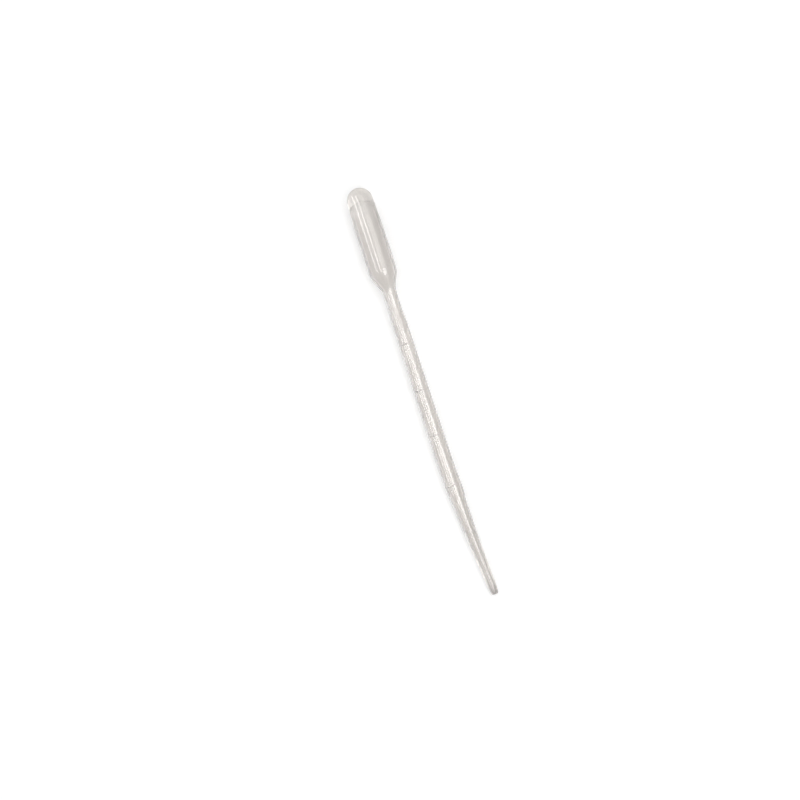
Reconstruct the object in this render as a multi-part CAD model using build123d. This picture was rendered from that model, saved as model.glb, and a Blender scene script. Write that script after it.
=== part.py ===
from build123d import *
import os
from math import asin, atan, ceil, cos, degrees, pi, radians, sin, tan

# A one-piece blow-moulded dropper pipette, lying on a level surface as it comes to rest.
# "Along" is the distance down the centreline from the bulb's closed end to the open tip.
# Sizes are in millimetres and angles in degrees.

# Lengths of the zones, from the closed end to the tip; the stem takes what they leave.
overall_length = 150.0
bulb_length = 31.4
shoulder_length = 5.8
neck_length = 7.4
flare_length = 5.2
step_length = 2.6
taper_length = 26.2
tip_length = 9.2

# Outside diameters.
bulb_diameter = 9.95
collar_diameter = 4.9
neck_diameter = 4.54
stem_top_diameter = 5.24
stem_foot_diameter = 5.92
taper_top_diameter = 5.2
tip_diameter = 3.3
nose_diameter = 2.3

# Walls: a solid plug where the blown tube was pinched shut, then an even skin down to the tip.
dome_wall = 5.2
bulb_wall = 0.85
stem_wall = 0.68
tip_wall = 0.88

# Rounded forms. The dome is a little narrower than the bulb and swells out into its side.
dome_narrowing = 0.75
swell_length = 13.2
shoulder_round = 8.0
collar_round = 5.0
neck_round = 40.0
flare_round = 60.0
nose_length = 4.5
nose_round = 0.22
mouth_round = 0.12
nose_share = 0.6
mouth_share = 0.3

# The sideways bow that a long thin moulding keeps: one arc, which ends at the straight tip.
# It is drawn in bands, each turned too little from the one before to see or feel.
bow_length = 51.0
bow_turn = 4.4
longest_band = 6.0
step_bands = 6

# Graduation marks: raised arcs, each a height up the stem from its foot.
# A mark is a disc set off to one side, so that it stands proud there and runs out to nothing.
mark_heights = (3.0, 21.6, 38.0, 55.0)
mark_width = 0.5
mark_rise = 0.16
mark_inset = 0.12
mark_side = 60.0
mark_draft = 0.12

# Rounds of working out how the pipette comes to rest, each nearer than the last.
settling_rounds = 5

# Places along the centreline.
collar_at = bulb_length + shoulder_length
neck_at = collar_at + neck_length
stem_top_at = neck_at + flare_length
tip_at = overall_length - tip_length
taper_top_at = tip_at - taper_length
stem_foot_at = taper_top_at - step_length
bow_at = tip_at - bow_length
bow_radius = bow_length / radians(bow_turn)
shank_length = tip_length - nose_length

# The rim between the bore and the nose limits how far its two edges can be rounded.
bore_radius = tip_diameter / 2 - tip_wall
rim_width = nose_diameter / 2 - bore_radius
nose_edge = min(nose_round, rim_width * nose_share)
mouth_edge = min(mouth_round, rim_width * mouth_share)


def between(start, end, share):
    return start + (end - start) * share


def stem_radius(along):
    """Outside radius of the stem, which widens evenly from its top to its foot."""
    share = (along - stem_top_at) / (stem_foot_at - stem_top_at)
    return between(stem_top_diameter, stem_foot_diameter, share) / 2


def place(along):
    """Plane across the centreline, facing the tip, with its x axis straight up."""
    turn = radians(bow_turn) * min(max(along - bow_at, 0) / bow_length, 1)
    past = max(along - tip_at, 0)
    x = min(along, bow_at) + bow_radius * sin(turn) + past * cos(turn)
    y = bow_radius * (1 - cos(turn)) + past * sin(turn)
    return Plane(origin=(x, y, 0), x_dir=(0, 0, 1), z_dir=(cos(turn), sin(turn), 0))


def bulb_to_bow(dome_inset, bulb_inset, stem_inset):
    """Solid of revolution from the closed end to where the bow begins."""
    bulb = bulb_diameter / 2 - bulb_inset
    dome = bulb - dome_narrowing / 2
    dome_middle = dome_inset + dome
    swell = (swell_length**2 + bulb**2 - dome**2) / (2 * (bulb - dome))
    lean = asin(swell_length / (swell - dome))
    dome_edge = (dome_middle - dome * sin(lean), dome * cos(lean))
    swell_end = (dome_middle + swell_length, bulb)
    bow_start = (bow_at, stem_radius(bow_at) - stem_inset)
    end_arc = TangentArc((dome_inset, 0), dome_edge, tangent=(0, 1))
    swell_arc = TangentArc(dome_edge, swell_end, tangent=end_arc % 1)
    side = FilletPolyline(
        swell_end,
        (bulb_length, bulb),
        (collar_at, collar_diameter / 2 - stem_inset),
        (neck_at, neck_diameter / 2 - stem_inset),
        (stem_top_at, stem_top_diameter / 2 - stem_inset),
        bow_start,
        radius=[shoulder_round, collar_round, neck_round, flare_round],
    )
    closing = Polyline(bow_start, (bow_at, 0), (dome_inset, 0))
    return revolve(make_face([end_arc, swell_arc, side, closing]), Axis.X)


def cone_rings(start, end, start_radius, end_radius):
    """Rings down a straight-sided stretch of the bow, without the one at its end."""
    bands = ceil((end - start) / longest_band)
    shares = [band / bands for band in range(bands)]
    return [(between(start, end, s), between(start_radius, end_radius, s)) for s in shares]


def step_rings(foot, top):
    """Rings down the step, whose side is half a cosine wave, without the one at its end."""
    shares = [band / step_bands for band in range(step_bands)]
    return [
        (between(stem_foot_at, taper_top_at, s), between(foot, top, (1 - cos(pi * s)) / 2))
        for s in shares
    ]


def bow_to_tip(stem_inset, tip_inset):
    """The lower stem, the step and the taper, which follow the bow."""
    start = stem_radius(bow_at) - stem_inset
    foot = stem_foot_diameter / 2 - stem_inset
    top = taper_top_diameter / 2 - stem_inset
    tip = tip_diameter / 2 - tip_inset
    rings = cone_rings(bow_at, stem_foot_at, start, foot)
    rings += step_rings(foot, top)
    rings += cone_rings(taper_top_at, tip_at, top, tip)
    rings.append((tip_at, tip))
    return loft([place(along) * Circle(radius) for along, radius in rings], ruled=True)


def turned_on_tip(outline):
    """Revolve an outline about the straight tip's own centreline, measured from its start."""
    start = place(tip_at)
    lengthways = Plane(origin=start.origin, x_dir=start.z_dir, z_dir=(0, 0, 1))
    return revolve(lengthways * outline, Axis(start.origin, start.z_dir))


def tip_outside():
    """The straight tip with its drawn-in nose and rounded rim, before the bore is cut."""
    tip = tip_diameter / 2
    shank_end = (shank_length, tip)
    nose_end = (tip_length, nose_diameter / 2)
    sides = [
        Line((0, tip), shank_end),
        TangentArc(shank_end, nose_end, tangent=(1, 0)),
        Polyline(nose_end, (tip_length, 0), (0, 0), (0, tip)),
    ]
    outline = make_face(sides)
    rim = outline.vertices().sort_by_distance(nose_end)[0]
    return turned_on_tip(fillet(rim, nose_edge))


def tip_bore():
    """The tip's straight bore, with its mouth eased open."""
    flare_start = (tip_length - mouth_edge, bore_radius)
    flare_end = (tip_length, bore_radius + mouth_edge)
    sides = [
        Line((0, bore_radius), flare_start),
        TangentArc(flare_start, flare_end, tangent=(1, 0)),
        Polyline(flare_end, (tip_length, 0), (0, 0), (0, bore_radius)),
    ]
    return turned_on_tip(make_face(sides))


def mark(along):
    """One graduation mark, standing proud of the stem on the marked side."""
    disc = Cylinder(stem_radius(along) - mark_inset, mark_width)
    disc = chamfer(disc.edges().filter_by(GeomType.CIRCLE), mark_draft)
    return place(along) * Rot(0, 0, mark_side) * Pos(mark_rise + mark_inset, 0, 0) * disc


def pipette_solid():
    """The whole moulding, with its centreline starting at the origin along +X."""
    outside = bulb_to_bow(0, 0, 0) + bow_to_tip(0, 0) + tip_outside()
    marks_at = [stem_foot_at - height for height in mark_heights]
    outside += [mark(along) for along in marks_at if along > stem_top_at]
    bore = bulb_to_bow(dome_wall, bulb_wall, stem_wall) + bow_to_tip(stem_wall, tip_wall)
    return outside - (bore + tip_bore())


def resting_angles():
    """Roll and tilt at which the bulb's lower end, the stem's foot and the tip all touch.

    The heavier side of the bow sinks until the tip stops it. Drops are how much smaller each
    touching ring is than the bulb's, and runs are how far beyond the bulb's it lies.
    """
    shoulder_angle = atan((bulb_diameter - collar_diameter) / 2 / shoulder_length)
    bulb_side_end = bulb_length - shoulder_round * tan(shoulder_angle / 2)
    nose_drop = (tip_diameter - nose_diameter) / 2
    nose_radius = (nose_length**2 + nose_drop**2) / (2 * nose_drop)
    shank_end = tip_at + shank_length
    foot_drop = (bulb_diameter - stem_foot_diameter) / 2
    foot_run = stem_foot_at - bulb_side_end
    foot_bow = place(stem_foot_at).origin.Y
    reach = (shank_end - bulb_side_end) / foot_run
    roll = 0.0
    tilt = 0.0
    for _ in range(settling_rounds):
        tip_lean = tilt + radians(bow_turn) * sin(roll)
        tip_drop = (bulb_diameter - tip_diameter) / 2 - nose_radius * (1 / cos(tip_lean) - 1)
        sink = (tip_drop - foot_drop * reach) / (place(shank_end).origin.Y - foot_bow * reach)
        roll = asin(min(max(sink, 0), 1))
        tilt = atan((foot_drop - foot_bow * sin(roll)) / foot_run)
    return roll, tilt


def lay_down(solid):
    """Rest the moulding on the floor, with the middle of its footprint at the origin."""
    roll, tilt = resting_angles()
    resting = Rot(0, degrees(tilt), 0) * Rot(-degrees(roll), 0, 0) * solid
    box = resting.bounding_box()
    return Pos(-box.center().X, -box.center().Y, -box.min.Z) * resting


pipette = lay_down(pipette_solid())
os.makedirs("parts", exist_ok=True)
export_step(pipette, "parts/pipette.step")
print("valid", pipette.is_valid, "solids", len(pipette.solids()), "volume", pipette.volume)
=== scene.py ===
from math import acos, asin, atan, ceil, cos, exp, hypot, pi, radians, sin, sqrt, tan

import bpy
from bpy.props import FloatProperty, FloatVectorProperty, IntProperty, PointerProperty
from mathutils import Matrix, Vector, noise


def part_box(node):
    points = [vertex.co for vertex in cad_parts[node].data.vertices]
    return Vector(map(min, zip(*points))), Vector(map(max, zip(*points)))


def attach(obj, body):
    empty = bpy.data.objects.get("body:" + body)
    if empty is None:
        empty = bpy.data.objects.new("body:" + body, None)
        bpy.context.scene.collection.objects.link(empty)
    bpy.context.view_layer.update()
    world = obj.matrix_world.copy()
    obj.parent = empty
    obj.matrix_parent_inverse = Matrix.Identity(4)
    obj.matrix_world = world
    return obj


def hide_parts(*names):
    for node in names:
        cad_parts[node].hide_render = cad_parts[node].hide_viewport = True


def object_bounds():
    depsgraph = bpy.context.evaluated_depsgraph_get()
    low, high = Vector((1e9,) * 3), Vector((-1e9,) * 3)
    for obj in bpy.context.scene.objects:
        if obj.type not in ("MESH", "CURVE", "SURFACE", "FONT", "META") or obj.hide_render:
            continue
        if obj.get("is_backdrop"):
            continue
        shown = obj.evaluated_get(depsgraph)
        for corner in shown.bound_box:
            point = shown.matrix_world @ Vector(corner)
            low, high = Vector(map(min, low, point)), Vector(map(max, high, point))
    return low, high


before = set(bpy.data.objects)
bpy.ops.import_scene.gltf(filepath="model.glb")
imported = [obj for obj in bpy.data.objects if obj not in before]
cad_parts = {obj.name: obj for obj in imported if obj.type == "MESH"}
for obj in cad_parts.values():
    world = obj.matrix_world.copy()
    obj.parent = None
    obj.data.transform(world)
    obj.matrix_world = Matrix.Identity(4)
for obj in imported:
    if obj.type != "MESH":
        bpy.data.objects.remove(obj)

bl_info = {
    "name": "Dropper pipette",
    "version": (1, 0, 0),
    "blender": (4, 5, 0),
    "location": "3D View > Sidebar > Pipette",
    "description": "Moulds a soft clear dropper pipette and lays it on a white studio sheet",
    "category": "Object",
}

NODE = "pipette"
BODY = "root"
CAD_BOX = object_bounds()
MM = 0.001
PLASTIC_IOR = 1.51
SHARP_EDGE = radians(50)

# How finely the round stretches of the outline are drawn.
DOME_STEP = radians(4)
SWELL_STEP = radians(0.5)
CORNER_STEP = radians(2)
RIM_STEP = radians(15)
STEP_RINGS = 16
NOSE_RINGS = 10
NIB_RINGS = 8

# The rim between the bore and the nose limits how far its two edges can be rounded. The outer
# edge takes the place of the nose's last rings, and the inner one of a short run of the bore.
NOSE_SHARE = 0.6
MOUTH_SHARE = 0.3
RIM_RINGS = 3
RIM_BORE = 1.0 * MM

# Rings of the mesh: how far past a mark's foot the next one lies, how near another may come to
# a wanted one, as a share of the gap, and how much over a whole number of gaps adds no ring.
MARK_MARGIN = 0.03 * MM
NEAREST_RING = 0.25
RING_SLACK = 1e-6

# The slow wander of the blown wall, which is another one inside than outside.
WANDER_LENGTH = 6 * MM
OUTSIDE_SEED = Vector((3.0, 7.0, 1.0))
INSIDE_SEED = Vector((11.0, 2.0, 5.0))

# Rounds of working out how the pipette comes to rest, each nearer than the last.
SETTLING_ROUNDS = 5

# The streaks' noise: its finer layers, and the part of its range that shows.
STREAK_LAYERS = 3.0
STREAK_RANGE = (0.3, 0.7)

# Where a look round the room passes from light to dark: how far to the right it points, and the
# square of how far it points lengthways.
SIDE_RANGE = (-0.2, 0.8)
ENDS_RANGE = (0.3, 1.0)

WHITE = (1, 1, 1, 1)

# Names of what the mesh carries for the plastic: whether it is the bore, how much painted shade it
# takes and how milky it is.
BORE = "bore"
PAINTED_SHADE = "painted_shade"
PINCHED = "pinched"


def size(name, description, millimetres):
    """A length that a user would change."""
    return FloatProperty(
        name=name,
        description=description,
        default=millimetres * MM,
        min=0.0,
        precision=5,
        subtype="DISTANCE",
        unit="LENGTH",
    )


def angle(name, description, turn):
    """An angle that a user would change, given in degrees."""
    return FloatProperty(
        name=name, description=description, default=radians(turn), subtype="ANGLE", unit="ROTATION"
    )


def distance(name, description, metres):
    """A distance in the studio."""
    return FloatProperty(name=name, description=description, default=metres, unit="LENGTH")


def light(name, description, value):
    """How bright a lamp or a surface looks, where 1 is plain white."""
    return FloatProperty(
        name=name, description=description, default=value, min=0.0, subtype="FACTOR"
    )


def share(name, description, value):
    """A share from none to all."""
    return FloatProperty(
        name=name, description=description, default=value, min=0.0, max=1.0, subtype="FACTOR"
    )


def colour(name, description, value):
    """A colour, as the plain red, green and blue of linear light."""
    return FloatVectorProperty(
        name=name, description=description, default=value, min=0.0, size=3, subtype="COLOR"
    )


class MouldingSizes(bpy.types.PropertyGroup):
    """The one-piece moulding, from the bulb's closed end to the open tip."""

    overall_length: size("Overall length", "Closed end to open tip", 150.0)
    bulb_length: size("Bulb", "Closed end to where the shoulder starts", 31.4)
    shoulder_length: size("Shoulder", "Bulb down to the collar", 5.8)
    neck_length: size("Neck", "Collar down to the waist", 7.4)
    flare_length: size("Flare", "Waist down to the top of the stem", 5.2)
    step_length: size("Step", "Stem's foot to the top of the taper", 2.6)
    taper_length: size("Taper", "Length of the long taper", 26.2)
    tip_length: size("Tip", "Straight tip with its nose", 9.2)
    bulb_diameter: size("Bulb diameter", "Outside", 9.95)
    collar_diameter: size("Collar diameter", "Outside, under the shoulder", 4.9)
    neck_diameter: size("Neck diameter", "Outside, at the waist", 4.54)
    stem_top_diameter: size("Stem top diameter", "Outside", 5.24)
    stem_foot_diameter: size("Stem foot diameter", "Outside", 5.92)
    taper_top_diameter: size("Taper top diameter", "Outside", 5.2)
    tip_diameter: size("Tip diameter", "Outside", 3.3)
    nose_diameter: size("Nose diameter", "Outside, at the mouth", 2.3)
    dome_wall: size("Dome wall", "Solid plug at the closed end", 5.2)
    bulb_wall: size("Bulb wall", "Wall round the bulb", 0.85)
    stem_wall: size("Stem wall", "Wall down the neck and stem", 0.68)
    tip_wall: size("Tip wall", "Wall at the tip", 0.88)
    dome_narrowing: size("Dome narrowing", "How much narrower the dome is than the bulb", 0.75)
    swell_length: size("Swell", "Dome's middle to the bulb's full width", 13.2)
    shoulder_round: size("Shoulder round", "Rounding where bulb meets shoulder", 8.0)
    collar_round: size("Collar round", "Rounding where shoulder meets neck", 5.0)
    neck_round: size("Neck round", "Rounding at the waist", 40.0)
    flare_round: size("Flare round", "Rounding at the top of the stem", 60.0)
    nose_length: size("Nose", "Length of the drawn-in nose", 4.5)
    nose_round: size("Nose round", "Rounding of the outer rim", 0.22)
    mouth_round: size("Mouth round", "Rounding of the inner rim", 0.12)
    bow_length: size("Bow", "Length of the lower stem that bends", 51.0)
    bow_turn: angle("Bow turn", "How far the tip turns from the bulb's line", 4.4)
    nib_length: size("Nib length", "How far the pinched tip of the hollow points", 0.6)
    nib_width: size("Nib width", "Across the pinched tip of the hollow", 0.9)
    pinch_length: size("Pinched end", "How far the milky end of the hollow reaches", 12.0)
    # How much painted shade darkens the taper beside the nose.
    taper_painted_shade: share("Taper shade", "How dark the taper is beside the nose", 0.3)
    unevenness: size("Unevenness", "How far the blown wall wanders from true", 0.008)
    seam_height: size("Parting line height", "How far the parting line stands out", 0.035)
    seam_width: size("Parting line width", "Half width of the parting line", 0.11)
    rings_gap: size("Ring gap", "Greatest gap between two rings of the mesh", 0.6)
    segments: IntProperty(
        name="Segments", description="Faces round the moulding", default=120, min=24, max=360
    )


class GraduationSizes(bpy.types.PropertyGroup):
    """The raised marks on the stem."""

    quarter_height: size("Quarter mark", "Height above the stem's foot", 3.0)
    half_height: size("Half mark", "Height above the stem's foot", 21.6)
    three_quarter_height: size("Three-quarter mark", "Height above the stem's foot", 38.0)
    full_height: size("Full mark", "Height above the stem's foot", 55.0)
    width: size("Mark width", "Width of a mark along the stem", 0.5)
    rise: size("Mark rise", "How far a mark stands out in its middle", 0.16)
    inset: size("Mark inset", "How far a mark's disc lies under the stem's surface", 0.12)
    draft: size("Mark draft", "Sloping edge of a mark", 0.12)
    side: angle("Marked side", "Turn from straight up, before the pipette rolls", 60.0)
    # Marks are painted darker with a share of the painted shade tint.
    shade: share("Mark shade", "How much of the tapered tint a mark takes", 0.4)
    frost: share("Mark frost", "How milky a mark is", 0.4)


class PlasticFinish(bpy.types.PropertyGroup):
    """The soft, slightly milky plastic."""

    tint: colour("Tint", "Colour of the plastic", (0.955, 0.933, 0.912))
    # Painted shade: a darker colour painted over the taper towards the mouth, over the nib and over
    # the marks.
    painted_shade_tint: colour("Tapered tint", "Colour at the mouth and the nib", (0.72, 0.7, 0.68))
    clearness: share("Clearness", "How much light goes straight through", 0.85)
    pinched_clearness: share("Pinched clearness", "The same at the pinched end", 0.05)
    polish: share("Roughness", "Roughness of the moulded outer surface", 0.06)
    bore_polish: share("Bore roughness", "Roughness of the blown surface inside", 0.3)
    pinched_polish: share("Pinched roughness", "Roughness of the hollow's pinched end", 0.5)
    depth_tint: colour("Depth tint", "Colour that thick plastic takes on", (0.8, 0.79, 0.78))
    depth: FloatProperty(
        name="Depth", description="How fast thick plastic darkens", default=125.0, min=0.0
    )
    streaks: share("Streaks", "How much darker the milky streaks are", 0.05)
    streak_length: size("Streak length", "Along the pipette", 9.0)
    streak_width: size("Streak width", "Across the pipette", 1.1)
    draw_depth: size("Draw marks", "How deep the marks left by drawing the tube are", 0.004)


class StageLook(bpy.types.PropertyGroup):
    """The white sheet, the room, the lamps and the camera."""

    sheet_half: distance("Sheet half", "Half the length of the sheet's side", 4.0)
    sheet_colour: colour("Sheet", "Colour of the floor", (0.9, 0.9, 0.9))
    sheet_glow: light("Sheet glow", "What is added to the floor where it is seen", 0.3)
    far_glow: light("Far glow", "What is added far out, where the lamps reach less", 0.5)
    glow_near: distance("Glow near", "How far from the pipette the plain glow reaches", 0.4)
    glow_far: distance("Glow far", "How far from the pipette the far glow starts", 1.5)
    room: light("Room", "Brightness of the room on the left", 0.8)
    dark_side: light("Dark side", "Brightness of the room on the right", 0.1)
    dark_ends: share("Dark ends", "Brightness kept beyond the pipette's two ends", 0.15)
    low_room: light("Low room", "Brightness of the room where it meets the floor", 0.7)
    low_height: share("Low height", "How steep a look up leaves the low room behind", 0.4)
    lamp_distance: distance("Lamp distance", "From the pipette", 2.5)
    panel: light("Panel", "Brightness of the soft panel on the right", 1.5)
    panel_angle: angle("Panel angle", "From straight up towards the right", 20)
    panel_spread: angle("Panel spread", "How wide the panel looks from the floor", 34)
    panel_length: distance("Panel length", "Along the pipette", 5.0)
    strip_overlap: share("Strip overlap", "How far a strip runs on over the stem", 0.25)
    strip_a: light("First strip", "Brightness of the strip that draws the first line", 6.8)
    strip_a_angle: angle("First strip angle", "From straight up towards the right", -46)
    strip_a_spread: angle("First strip spread", "How wide the strip looks", 10)
    strip_a_drop: angle("First strip drop", "How high its far end looks from the floor", 6)
    strip_a_swing: angle("First strip swing", "Its far end, from behind the bulb to the left", 41)
    strip_b: light("Second strip", "Brightness of the strip that draws the second line", 6.4)
    strip_b_angle: angle("Second strip angle", "From straight up towards the right", -15)
    strip_b_spread: angle("Second strip spread", "How wide the strip looks", 10)
    strip_b_drop: angle("Second strip drop", "How high its far end looks from the floor", 24)
    strip_b_swing: angle("Second strip swing", "Its far end, from behind the bulb to the left", 22)
    window: light("Window", "Brightness of the broad reflection on the bulb", 1.4)
    window_angle: angle("Window angle", "From straight up towards the right", 22.5)
    window_spread: angle("Window spread", "How wide the window looks", 39)
    window_start: distance("Window start", "Its end beyond the bulb", -0.31)
    window_end: distance("Window end", "Its end over the stem", -0.08)
    stem_lamp: light("Stem lamp", "Brightness of the lamp that draws the stem's middle", 6.0)
    stem_lamp_angle: angle("Stem lamp angle", "From straight up towards the right", 14)
    stem_lamp_spread: angle("Stem lamp spread", "How wide the lamp looks", 26)
    stem_lamp_start: distance("Stem lamp start", "Its end towards the bulb", -0.075)
    stem_lamp_end: distance("Stem lamp end", "Its end beyond the tip", 1.5)
    camera_height: distance("Camera height", "Above the floor", 0.78)
    camera_shift: distance("Camera shift", "Across the pipette", -0.0082)
    camera_turn: angle("Camera turn", "About the way it looks", 71.99)
    lens: FloatProperty(
        name="Lens", description="Focal length", default=100.0, min=10.0, unit="CAMERA"
    )


# ---------------------------------------------------------------- the moulding's form


def between(start, end, part):
    return start + (end - start) * part


def smooth_step(part):
    """A share from none to all that starts and ends gently."""
    part = max(0.0, min(1.0, part))
    return part * part * (3 - 2 * part)


def places(s):
    """The places along the centreline, in order from the closed end."""
    collar = s.bulb_length + s.shoulder_length
    neck = collar + s.neck_length
    stem_top = neck + s.flare_length
    tip = s.overall_length - s.tip_length
    taper_top = tip - s.taper_length
    stem_foot = taper_top - s.step_length
    bow = tip - s.bow_length
    return {
        "collar": collar,
        "neck": neck,
        "stem_top": stem_top,
        "bow": bow,
        "stem_foot": stem_foot,
        "taper_top": taper_top,
        "tip": tip,
        "shank": tip + s.tip_length - s.nose_length,
    }


def stem_radius(s, along):
    """Outside radius of the evenly widening stem."""
    at = places(s)
    part = (along - at["stem_top"]) / (at["stem_foot"] - at["stem_top"])
    return between(s.stem_top_diameter, s.stem_foot_diameter, part) / 2


def centreline(s, along):
    """Point on the bowed centreline, with the directions along it and across it."""
    at = places(s)
    turn = s.bow_turn * min(max(along - at["bow"], 0.0) / s.bow_length, 1.0)
    past = max(along - at["tip"], 0.0)
    bend = s.bow_length / s.bow_turn
    x = min(along, at["bow"]) + bend * sin(turn) + past * cos(turn)
    y = bend * (1 - cos(turn)) + past * sin(turn)
    return Vector((x, y, 0)), Vector((cos(turn), sin(turn), 0)), Vector((sin(turn), -cos(turn), 0))


def arc(centre, radius, start, end, step):
    """Points of an arc between two angles, both ends included."""
    count = max(2, ceil(abs(end - start) / step))
    turns = [between(start, end, i / count) for i in range(count + 1)]
    return [(centre[0] + radius * cos(a), centre[1] + radius * sin(a)) for a in turns]


def rounded(corners, radii, step):
    """A run of straight lines whose inner corners are rounded to the given radii."""
    path = [corners[0]]
    for before, corner, after, radius in zip(corners, corners[1:], corners[2:], radii):
        back = (Vector(before) - Vector(corner)).normalized()
        on = (Vector(after) - Vector(corner)).normalized()
        half = acos(max(-1.0, min(1.0, back.dot(on)))) / 2
        reach = radius / tan(half)
        middle = Vector(corner) + (back + on).normalized() * (radius / sin(half))
        first = Vector(corner) + back * reach - middle
        last = Vector(corner) + on * reach - middle
        count = max(2, ceil((pi - 2 * half) / step))
        for i in range(count + 1):
            spoke = first.lerp(last, i / count).normalized() * radius
            path.append(tuple(middle + spoke))
    path.append(corners[-1])
    return path


def upper_outline(s, dome_inset, bulb_inset, stem_inset):
    """Outline from the closed end to where the bow begins."""
    at = places(s)
    bulb = s.bulb_diameter / 2 - bulb_inset
    dome = bulb - s.dome_narrowing / 2
    middle = dome_inset + dome
    swell = (s.swell_length**2 + bulb**2 - dome**2) / (2 * (bulb - dome))
    lean = asin(s.swell_length / (swell - dome))
    end = arc((middle, 0), dome, pi, pi / 2 + lean, DOME_STEP)
    swell_middle = (middle + s.swell_length, bulb - swell)
    side = arc(swell_middle, swell, pi / 2 + lean, pi / 2, SWELL_STEP)
    corners = [
        side[-1],
        (s.bulb_length, bulb),
        (at["collar"], s.collar_diameter / 2 - stem_inset),
        (at["neck"], s.neck_diameter / 2 - stem_inset),
        (at["stem_top"], s.stem_top_diameter / 2 - stem_inset),
        (at["bow"], stem_radius(s, at["bow"]) - stem_inset),
    ]
    radii = [s.shoulder_round, s.collar_round, s.neck_round, s.flare_round]
    return end[:-1] + side[:-1] + rounded(corners, radii, CORNER_STEP)


def lower_outline(s, stem_inset, tip_inset):
    """Outline of the bowed stem, the step and the taper, to where the straight tip begins."""
    at = places(s)
    foot = s.stem_foot_diameter / 2 - stem_inset
    top = s.taper_top_diameter / 2 - stem_inset
    outline = []
    for i in range(STEP_RINGS + 1):
        part = i / STEP_RINGS
        along = between(at["stem_foot"], at["taper_top"], part)
        outline.append((along, between(foot, top, (1 - cos(pi * part)) / 2)))
    outline.append((at["tip"], s.tip_diameter / 2 - tip_inset))
    return outline


def tip_outline(s):
    """Outline of the tip: over the nose, round the rim and back up the bore."""
    at = places(s)
    end = s.overall_length
    tip = s.tip_diameter / 2
    nose = s.nose_diameter / 2
    bore = tip - s.tip_wall
    drop = tip - nose
    bend = (s.nose_length**2 + drop**2) / (2 * drop)
    lean = asin(s.nose_length / bend)
    over_nose = arc((at["shank"], tip - bend), bend, pi / 2, pi / 2 - lean, lean / NOSE_RINGS)
    over_nose = over_nose[:-RIM_RINGS]
    nose_edge = min(s.nose_round, (nose - bore) * NOSE_SHARE)
    mouth_edge = min(s.mouth_round, (nose - bore) * MOUTH_SHARE)
    corners = [over_nose[-1], (end, nose), (end, bore), (end - RIM_BORE, bore)]
    rim = rounded(corners, [nose_edge, mouth_edge], RIM_STEP)
    return over_nose + rim[1:] + [(at["tip"], bore)]


def filled_in(outline, gap, wanted=()):
    """The outline with points about a gap apart at most, and one at each wanted place."""
    path = [outline[0]]
    for start, end in zip(outline, outline[1:]):
        length = hypot(end[0] - start[0], end[1] - start[1])
        count = max(1, ceil(length / gap - RING_SLACK))
        parts = {i / count for i in range(1, count + 1)}
        if end[0] > start[0]:
            kept = [(place - start[0]) / (end[0] - start[0]) for place in wanted]
            kept = [part for part in kept if 0 < part < 1]
            room = gap * NEAREST_RING
            far = {part for part in parts if all(abs(part - k) * length > room for k in kept)}
            parts = far | {1.0, *kept}
        for part in sorted(parts):
            path.append((between(start[0], end[0], part), between(start[1], end[1], part)))
    return path


def outline_normals(outline):
    """Direction away from the plastic at each point of the outline."""
    normals = []
    for i in range(len(outline)):
        before = Vector(outline[max(i - 1, 0)])
        after = Vector(outline[min(i + 1, len(outline) - 1)])
        run = (after - before).normalized()
        normals.append(Vector((-run.y, run.x)))
    normals[0] = Vector((-1.0, 0.0))
    normals[-1] = Vector((1.0, 0.0))
    return normals


def mark_places(s, g):
    """Where the marks lie along the centreline, the quarter first."""
    foot = places(s)["stem_foot"]
    heights = (g.quarter_height, g.half_height, g.three_quarter_height, g.full_height)
    return [foot - height for height in heights]


def mark_rise(s, g, along, turn):
    """How far the marks raise the surface there: each is a disc set off to one side."""
    rise = 0.0
    for place in mark_places(s, g):
        off = abs(along - place)
        if off > g.width / 2:
            continue
        stem = stem_radius(s, along)
        disc = stem - g.inset
        shift = g.rise + g.inset
        around = turn - g.side
        reach = shift * cos(around) + sqrt(disc**2 - (shift * sin(around)) ** 2)
        reach -= max(0.0, off - (g.width / 2 - g.draft))
        rise = max(rise, reach - stem)
    return rise


def seam_rise(s, g, radius, turn):
    """How far the parting line raises the surface there."""
    rise = 0.0
    for seam in (g.side + pi / 2, g.side - pi / 2):
        off = (turn - seam + pi) % (2 * pi) - pi
        rise = max(rise, s.seam_height * exp(-((off * radius / s.seam_width) ** 2)))
    return rise


def nib_outline(s, hollow):
    """The hollow's outline, drawn out to a round nib where the tube was pinched shut."""
    half = s.nib_width / 2
    turns = [pi / 2 * i / NIB_RINGS for i in range(NIB_RINGS + 1)]
    nib = [(s.dome_wall - s.nib_length * cos(turn), half * sin(turn)) for turn in turns]
    return nib + [spot for spot in hollow if spot[1] > half]


def painted_taper_shade(s, along):
    """How much painted shade there is: some by halfway to the nose, all at the mouth."""
    at = places(s)
    half = (at["shank"] - at["stem_foot"]) / 2
    taper = smooth_step((along - at["stem_foot"]) / half)
    nose = smooth_step((along - at["shank"]) / s.nose_length)
    return between(s.taper_painted_shade * taper, 1.0, nose)


def pinched(s, along):
    """How milky the hollow is where the tube was pinched shut, fading down the bulb."""
    return smooth_step(1 - (along - s.dome_wall) / s.pinch_length)


def wall_outline(s, g):
    """Outline of the whole wall, from the closed end round to the nib, and where it turns back."""
    edges = (0.0, g.width / 2 - g.draft, g.width / 2, g.width / 2 + MARK_MARGIN)
    wanted = [mark + side * edge for mark in mark_places(s, g) for edge in edges for side in (-1, 1)]
    outside = upper_outline(s, 0, 0, 0) + lower_outline(s, 0, 0)[:-1] + tip_outline(s)
    inside = nib_outline(s, upper_outline(s, s.dome_wall, s.bulb_wall, s.stem_wall))
    inside += lower_outline(s, s.stem_wall, s.tip_wall)[:-1]
    outside = filled_in(outside, s.rings_gap, wanted)
    turning = max(range(len(outside)), key=lambda i: outside[i][0])
    return outside + filled_in([outside[-1]] + inside[::-1], s.rings_gap)[1:], turning


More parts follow.
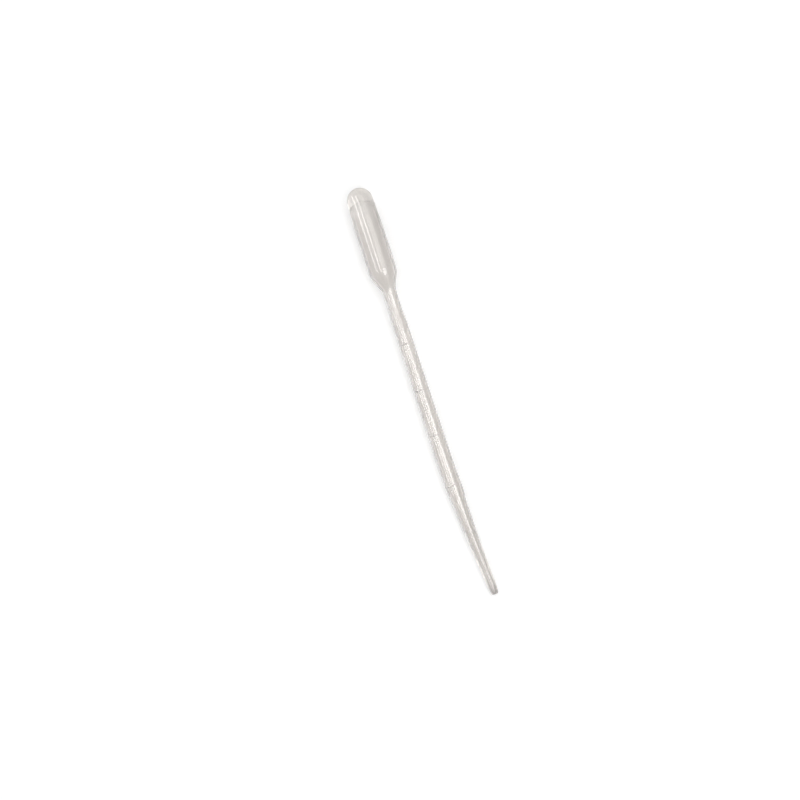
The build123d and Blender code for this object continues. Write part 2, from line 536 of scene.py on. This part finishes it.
def wall_faces(rings, count):
    """Faces between rings of points, the first and last of which are single points."""
    faces = []
    last = rings - 1
    for index in range(last):
        low = 1 + (index - 1) * count
        high = low + count
        for i in range(count):
            j = (i + 1) % count
            if index == 0:
                faces.append((0, 1 + j, 1 + i))
            elif index == last - 1:
                faces.append((low + j, high, low + i))
            else:
                faces.append((low + j, high + j, high + i, low + i))
    return faces


def wall_mesh(s, g):
    """The whole wall as one closed mesh: down the outside, round the rim and back up the bore."""
    outline, turning = wall_outline(s, g)
    normals = outline_normals(outline)
    count = s.segments
    turns = [2 * pi * i / count for i in range(count)]
    points = []
    layers = {BORE: [], PAINTED_SHADE: [], PINCHED: []}
    for index, ((along, radius), normal) in enumerate(zip(outline, normals)):
        centre, onward, across = centreline(s, along)
        outer = index <= turning
        pole = index in (0, len(outline) - 1)
        nib = not outer and along < s.dome_wall
        # Painted shade: all of it at the nib and the mouth, some down the taper.
        shade = 1.0 if nib else painted_taper_shade(s, along)
        seed = OUTSIDE_SEED if outer else INSIDE_SEED
        for turn in turns[:1] if pole else turns:
            way = Vector((0, 0, cos(turn))) + across * sin(turn)
            spot = centre + way * radius
            ridge = mark_rise(s, g, along, turn) if outer else 0.0
            rise = ridge + s.unevenness * noise.noise(spot / WANDER_LENGTH + seed)
            if outer:
                rise += seam_rise(s, g, radius, turn)
            points.append(spot + (onward * normal.x + way * normal.y) * rise)
            layers[BORE].append(0.0 if outer else 1.0)
            # Marks take painted shade too, darker where they stand out most.
            layers[PAINTED_SHADE].append(max(shade, g.shade * ridge / g.rise))
            layers[PINCHED].append(g.frost * ridge / g.rise if outer else pinched(s, along))
    mesh = bpy.data.meshes.new("pipette")
    mesh.from_pydata(points, [], wall_faces(len(outline), count))
    for name, values in layers.items():
        mesh.attributes.new(name, "FLOAT", "POINT").data.foreach_set("value", values)
    return mesh


def resting_angles(s):
    """Roll and tilt at which the bulb's lower end, the stem's foot and the tip all touch."""
    at = places(s)
    shoulder = atan((s.bulb_diameter - s.collar_diameter) / 2 / s.shoulder_length)
    bulb_end = s.bulb_length - s.shoulder_round * tan(shoulder / 2)
    nose_drop = (s.tip_diameter - s.nose_diameter) / 2
    nose_bend = (s.nose_length**2 + nose_drop**2) / (2 * nose_drop)
    foot_drop = (s.bulb_diameter - s.stem_foot_diameter) / 2
    foot_run = at["stem_foot"] - bulb_end
    foot_bow = centreline(s, at["stem_foot"])[0].y
    reach = (at["shank"] - bulb_end) / foot_run
    shank_bow = centreline(s, at["shank"])[0].y
    roll, tilt = 0.0, 0.0
    for _ in range(SETTLING_ROUNDS):
        lean = tilt + s.bow_turn * sin(roll)
        tip_drop = (s.bulb_diameter - s.tip_diameter) / 2 - nose_bend * (1 / cos(lean) - 1)
        sink = (tip_drop - foot_drop * reach) / (shank_bow - foot_bow * reach)
        roll = asin(min(max(sink, 0.0), 1.0))
        tilt = atan((foot_drop - foot_bow * sin(roll)) / foot_run)
    return roll, tilt


def lay_down(s, mesh):
    """Turn the mesh as it rests and set it where the frame's own part lies."""
    roll, tilt = resting_angles(s)
    mesh.transform(Matrix.Rotation(tilt, 4, "Y") @ Matrix.Rotation(-roll, 4, "X"))
    spots = [v.co for v in mesh.vertices]
    low = Vector(min(p[i] for p in spots) for i in range(3))
    high = Vector(max(p[i] for p in spots) for i in range(3))
    node_low, node_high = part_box(NODE)
    shift = (node_low + node_high - low - high) / 2
    shift.z = node_low.z - low.z
    mesh.transform(Matrix.Translation(shift))


# ---------------------------------------------------------------- materials


def add_node(tree, kind, sockets=None, **settings):
    """A new node with its settings, and with values or links on its sockets."""
    node = tree.nodes.new(kind)
    for name, value in settings.items():
        setattr(node, name, value)
    for name, value in (sockets or {}).items():
        if isinstance(value, bpy.types.NodeSocket):
            tree.links.new(value, node.inputs[name])
        else:
            node.inputs[name].default_value = value
    return node


def empty_tree(owner):
    """The node tree of a material or a world, with nothing in it."""
    owner.use_nodes = True
    owner.node_tree.nodes.clear()
    return owner.node_tree


def carried(tree, name):
    """What the mesh carries under a name."""
    return add_node(tree, "ShaderNodeAttribute", attribute_name=name).outputs["Fac"]


def maths(tree, operation, first, second):
    """What an operation makes of two values."""
    node = add_node(tree, "ShaderNodeMath", operation=operation)
    tree.links.new(first, node.inputs[0])
    tree.links.new(second, node.inputs[1])
    return node.outputs["Value"]


def scaled(tree, value, low, high, start=0.0, end=1.0):
    """A value that goes from low to high while the given one goes from start to end."""
    sockets = {"Value": value, "From Min": start, "From Max": end, "To Min": low, "To Max": high}
    return add_node(tree, "ShaderNodeMapRange", sockets).outputs["Result"]


def mixed(tree, factor, first, second, **settings):
    """A blend of two values, or of two colours."""
    sockets = {"Factor": factor, "A": first, "B": second}
    return add_node(tree, "ShaderNodeMix", sockets, **settings).outputs["Result"]


def draw_streaks(tree, finish):
    """Long soft streaks, as drawing and blowing a tube leaves in it."""
    across = 1 / finish.streak_width
    scale = (1 / finish.streak_length, across, across)
    spot = add_node(tree, "ShaderNodeTexCoord").outputs["Object"]
    stretched = add_node(tree, "ShaderNodeMapping", {"Vector": spot, "Scale": scale})
    sockets = {"Vector": stretched.outputs["Vector"], "Scale": 1.0, "Detail": STREAK_LAYERS}
    return add_node(tree, "ShaderNodeTexNoise", sockets).outputs["Fac"]


def streaked_tint(tree, finish, painted_shade, streaks):
    """The plastic's colour: darker with painted shade at the taper, mouth, nib and marks, and a
    little so in the streaks.
    """
    plain, dark = (*finish.tint, 1), (*finish.painted_shade_tint, 1)
    tint = mixed(tree, painted_shade, plain, dark, data_type="RGBA")
    haze = scaled(tree, streaks, 1 - finish.streaks, 1.0, *STREAK_RANGE)
    return mixed(tree, 1.0, tint, haze, data_type="RGBA", blend_type="MULTIPLY")


def soft_plastic(finish):
    """Soft clear plastic: polished outside, dull in the bore and milky where it was pinched."""
    material = bpy.data.materials.new("soft_clear_plastic")
    tree = empty_tree(material)
    bore, painted_shade, milky = (carried(tree, name) for name in (BORE, PAINTED_SHADE, PINCHED))
    streaks = draw_streaks(tree, finish)
    dull = scaled(tree, bore, finish.polish, finish.bore_polish)
    marks = add_node(
        tree, "ShaderNodeBump", {"Height": streaks, "Strength": 1.0, "Distance": finish.draw_depth}
    )
    shader = add_node(
        tree,
        "ShaderNodeBsdfPrincipled",
        {
            "Base Color": streaked_tint(tree, finish, painted_shade, streaks),
            "Roughness": mixed(tree, milky, dull, finish.pinched_polish),
            "Transmission Weight": mixed(tree, milky, finish.clearness, finish.pinched_clearness),
            "IOR": PLASTIC_IOR,
            "Normal": marks.outputs["Normal"],
        },
    )
    depth = add_node(
        tree,
        "ShaderNodeVolumeAbsorption",
        {"Color": (*finish.depth_tint, 1), "Density": finish.depth},
    )
    add_node(
        tree,
        "ShaderNodeOutputMaterial",
        {"Surface": shader.outputs["BSDF"], "Volume": depth.outputs["Volume"]},
    )
    return material


def white_sheet(look):
    """White paper, a little brighter where it is looked at, and more so far from the lamps."""
    material = bpy.data.materials.new("white_sheet")
    tree = empty_tree(material)
    rays = add_node(tree, "ShaderNodeLightPath").outputs
    seen = rays["Is Camera Ray"]
    for kind in ("Is Glossy Ray", "Is Transmission Ray"):
        seen = maths(tree, "MAXIMUM", seen, rays[kind])
    spot = add_node(tree, "ShaderNodeTexCoord").outputs["Object"]
    out = add_node(tree, "ShaderNodeVectorMath", operation="LENGTH")
    tree.links.new(spot, out.inputs[0])
    reach = (look.glow_near, look.glow_far)
    added = scaled(tree, out.outputs["Value"], look.sheet_glow, look.far_glow, *reach)
    glow = add_node(tree, "ShaderNodeEmission", {"Strength": scaled(tree, seen, 0.0, added)})
    paper = add_node(tree, "ShaderNodeBsdfDiffuse", {"Color": (*look.sheet_colour, 1)})
    both = add_node(tree, "ShaderNodeAddShader")
    tree.links.new(paper.outputs["BSDF"], both.inputs[0])
    tree.links.new(glow.outputs["Emission"], both.inputs[1])
    add_node(tree, "ShaderNodeOutputMaterial", {"Surface": both.outputs["Shader"]})
    return material


def room_light(tree, look):
    """Brightness of the room: dim on the right and at both ends, and lighter near the floor."""
    way = add_node(tree, "ShaderNodeTexCoord").outputs["Generated"]
    way = add_node(tree, "ShaderNodeSeparateXYZ", {"Vector": way}).outputs
    sideways = scaled(tree, way["Y"], look.room, look.dark_side, *SIDE_RANGE)
    lengthways = maths(tree, "MULTIPLY", way["X"], way["X"])
    ends = scaled(tree, lengthways, 1.0, look.dark_ends, *ENDS_RANGE)
    low = scaled(tree, way["Z"], look.low_room, 0.0, 0.0, look.low_height)
    return maths(tree, "MAXIMUM", maths(tree, "MULTIPLY", sideways, ends), low)


def studio_world(look):
    """The room as the plastic sees it, which is white where the camera looks at it."""
    world = bpy.data.worlds.new("studio")
    tree = empty_tree(world)
    strength = room_light(tree, look)
    dim = add_node(tree, "ShaderNodeBackground", {"Color": WHITE, "Strength": strength})
    plain = add_node(tree, "ShaderNodeBackground", {"Color": WHITE, "Strength": 1.0})
    seen = add_node(tree, "ShaderNodeLightPath").outputs["Is Camera Ray"]
    mix = add_node(tree, "ShaderNodeMixShader", {"Fac": seen})
    tree.links.new(dim.outputs["Background"], mix.inputs[1])
    tree.links.new(plain.outputs["Background"], mix.inputs[2])
    add_node(tree, "ShaderNodeOutputWorld", {"Surface": mix.outputs["Shader"]})
    return world


# ---------------------------------------------------------------- lamps and camera


def soft_lamp(name, brightness, centre, along, width, length):
    """A soft lamp that faces the pipette, its long side along the given way."""
    data = bpy.data.lights.new(name, "AREA")
    data.shape = "RECTANGLE"
    data.size, data.size_y = width, length
    data.energy = brightness * pi * width * length
    lamp = bpy.data.objects.new(name, data)
    away = centre.normalized()
    across = along.cross(away).normalized()
    turned = Matrix((across, away.cross(across), away)).transposed()
    lamp.matrix_world = Matrix.Translation(centre) @ turned.to_4x4()
    bpy.context.scene.collection.objects.link(lamp)
    return lamp


def seen_width(look, spread):
    """Real width of a lamp that looks as wide as the spread from the pipette."""
    return 2 * look.lamp_distance * tan(spread / 2)


def overhead_lamp(look, name, brightness, turn, spread, start, end):
    """A lamp over the pipette, between two places along it."""
    reach = look.lamp_distance
    centre = Vector(((start + end) / 2, reach * sin(turn), reach * cos(turn)))
    along = Vector((1, 0, 0))
    return soft_lamp(name, brightness, centre, along, seen_width(look, spread), end - start)


def strip_lamp(look, name, brightness, turn, spread, drop, swing):
    """A strip that runs from over the pipette down to behind the bulb's closed end."""
    reach = look.lamp_distance
    near = Vector((0, sin(turn), cos(turn)))
    far = Vector((-cos(drop) * cos(swing), -cos(drop) * sin(swing), sin(drop)))
    run = (far - near).normalized()
    start = near - run * look.strip_overlap
    centre = (start + far) / 2 * reach
    length = (far - start).length * reach
    return soft_lamp(name, brightness, centre, run, seen_width(look, spread), length)


def set_lamps(look):
    """One soft panel that lights the sheet, and lamps that draw the highlights on the plastic."""
    half = look.panel_length / 2
    overhead_lamp(look, "panel", look.panel, look.panel_angle, look.panel_spread, -half, half)
    highlights = [
        strip_lamp(
            look,
            "first_strip",
            look.strip_a,
            look.strip_a_angle,
            look.strip_a_spread,
            look.strip_a_drop,
            look.strip_a_swing,
        ),
        strip_lamp(
            look,
            "second_strip",
            look.strip_b,
            look.strip_b_angle,
            look.strip_b_spread,
            look.strip_b_drop,
            look.strip_b_swing,
        ),
        overhead_lamp(
            look,
            "window",
            look.window,
            look.window_angle,
            look.window_spread,
            look.window_start,
            look.window_end,
        ),
        overhead_lamp(
            look,
            "stem_lamp",
            look.stem_lamp,
            look.stem_lamp_angle,
            look.stem_lamp_spread,
            look.stem_lamp_start,
            look.stem_lamp_end,
        ),
    ]
    for lamp in highlights:
        lamp.visible_diffuse = False


def set_camera(look):
    """A camera that looks straight down, turned as the pipette lies in its picture."""
    data = bpy.data.cameras.new("camera")
    data.lens = look.lens
    camera = bpy.data.objects.new("camera", data)
    camera.location = (0, look.camera_shift, look.camera_height)
    camera.rotation_euler = (0, 0, look.camera_turn)
    bpy.context.scene.collection.objects.link(camera)
    bpy.context.scene.camera = camera


# ---------------------------------------------------------------- operators and panel


class PIPETTE_OT_mould(bpy.types.Operator):
    """Mould the pipette's wall as one closed piece and lay it on the floor"""

    bl_idname = "pipette.mould"
    bl_label = "Mould the pipette"

    def execute(self, context):
        scene = context.scene
        mesh = wall_mesh(scene.moulding_sizes, scene.graduation_sizes)
        lay_down(scene.moulding_sizes, mesh)
        mesh.shade_smooth()
        mesh.set_sharp_from_angle(angle=SHARP_EDGE)
        mesh.materials.append(soft_plastic(scene.plastic_finish))
        piece = bpy.data.objects.new("pipette_moulding", mesh)
        scene.collection.objects.link(piece)
        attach(piece, BODY)
        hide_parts(NODE)
        return {"FINISHED"}


class PIPETTE_OT_stage(bpy.types.Operator):
    """Lay the white sheet and set the room, the lamps and the camera"""

    bl_idname = "pipette.stage"
    bl_label = "Set the stage"

    def execute(self, context):
        look = context.scene.stage_look
        half = look.sheet_half
        corners = [(-half, -half, 0), (half, -half, 0), (half, half, 0), (-half, half, 0)]
        mesh = bpy.data.meshes.new("sheet")
        mesh.from_pydata(corners, [], [(0, 1, 2, 3)])
        mesh.materials.append(white_sheet(look))
        sheet = bpy.data.objects.new("sheet", mesh)
        context.scene.collection.objects.link(sheet)
        sheet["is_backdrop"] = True
        context.scene.world = studio_world(look)
        set_lamps(look)
        set_camera(look)
        context.scene.view_settings.view_transform = "Standard"
        return {"FINISHED"}


OPERATORS = (PIPETTE_OT_mould, PIPETTE_OT_stage)
GROUPS = {
    "moulding_sizes": MouldingSizes,
    "graduation_sizes": GraduationSizes,
    "plastic_finish": PlasticFinish,
    "stage_look": StageLook,
}


class PIPETTE_PT_sidebar(bpy.types.Panel):
    """The steps that make the pipette, with what each can be given"""

    bl_idname = "PIPETTE_PT_sidebar"
    bl_label = "Dropper pipette"
    bl_space_type = "VIEW_3D"
    bl_region_type = "UI"
    bl_category = "Pipette"

    def draw(self, context):
        for operator in OPERATORS:
            self.layout.operator(operator.bl_idname)
        for name, group in GROUPS.items():
            box = self.layout.box()
            box.label(text=name.replace("_", " ").capitalize())
            for prop in group.__annotations__:
                box.prop(getattr(context.scene, name), prop)


def register():
    for cls in (*GROUPS.values(), *OPERATORS, PIPETTE_PT_sidebar):
        bpy.utils.register_class(cls)
    for name, group in GROUPS.items():
        setattr(bpy.types.Scene, name, PointerProperty(type=group))


def unregister():
    for name in GROUPS:
        delattr(bpy.types.Scene, name)
    for cls in (PIPETTE_PT_sidebar, *reversed(OPERATORS), *reversed(GROUPS.values())):
        bpy.utils.unregister_class(cls)


def main():
    register()
    bpy.ops.pipette.mould()
    bpy.ops.pipette.stage()
    boxes = {"cad": CAD_BOX, "visual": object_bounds()}
    boxes = {name: [list(corner) for corner in box] for name, box in boxes.items()}


if __name__ == "__main__":
    main()
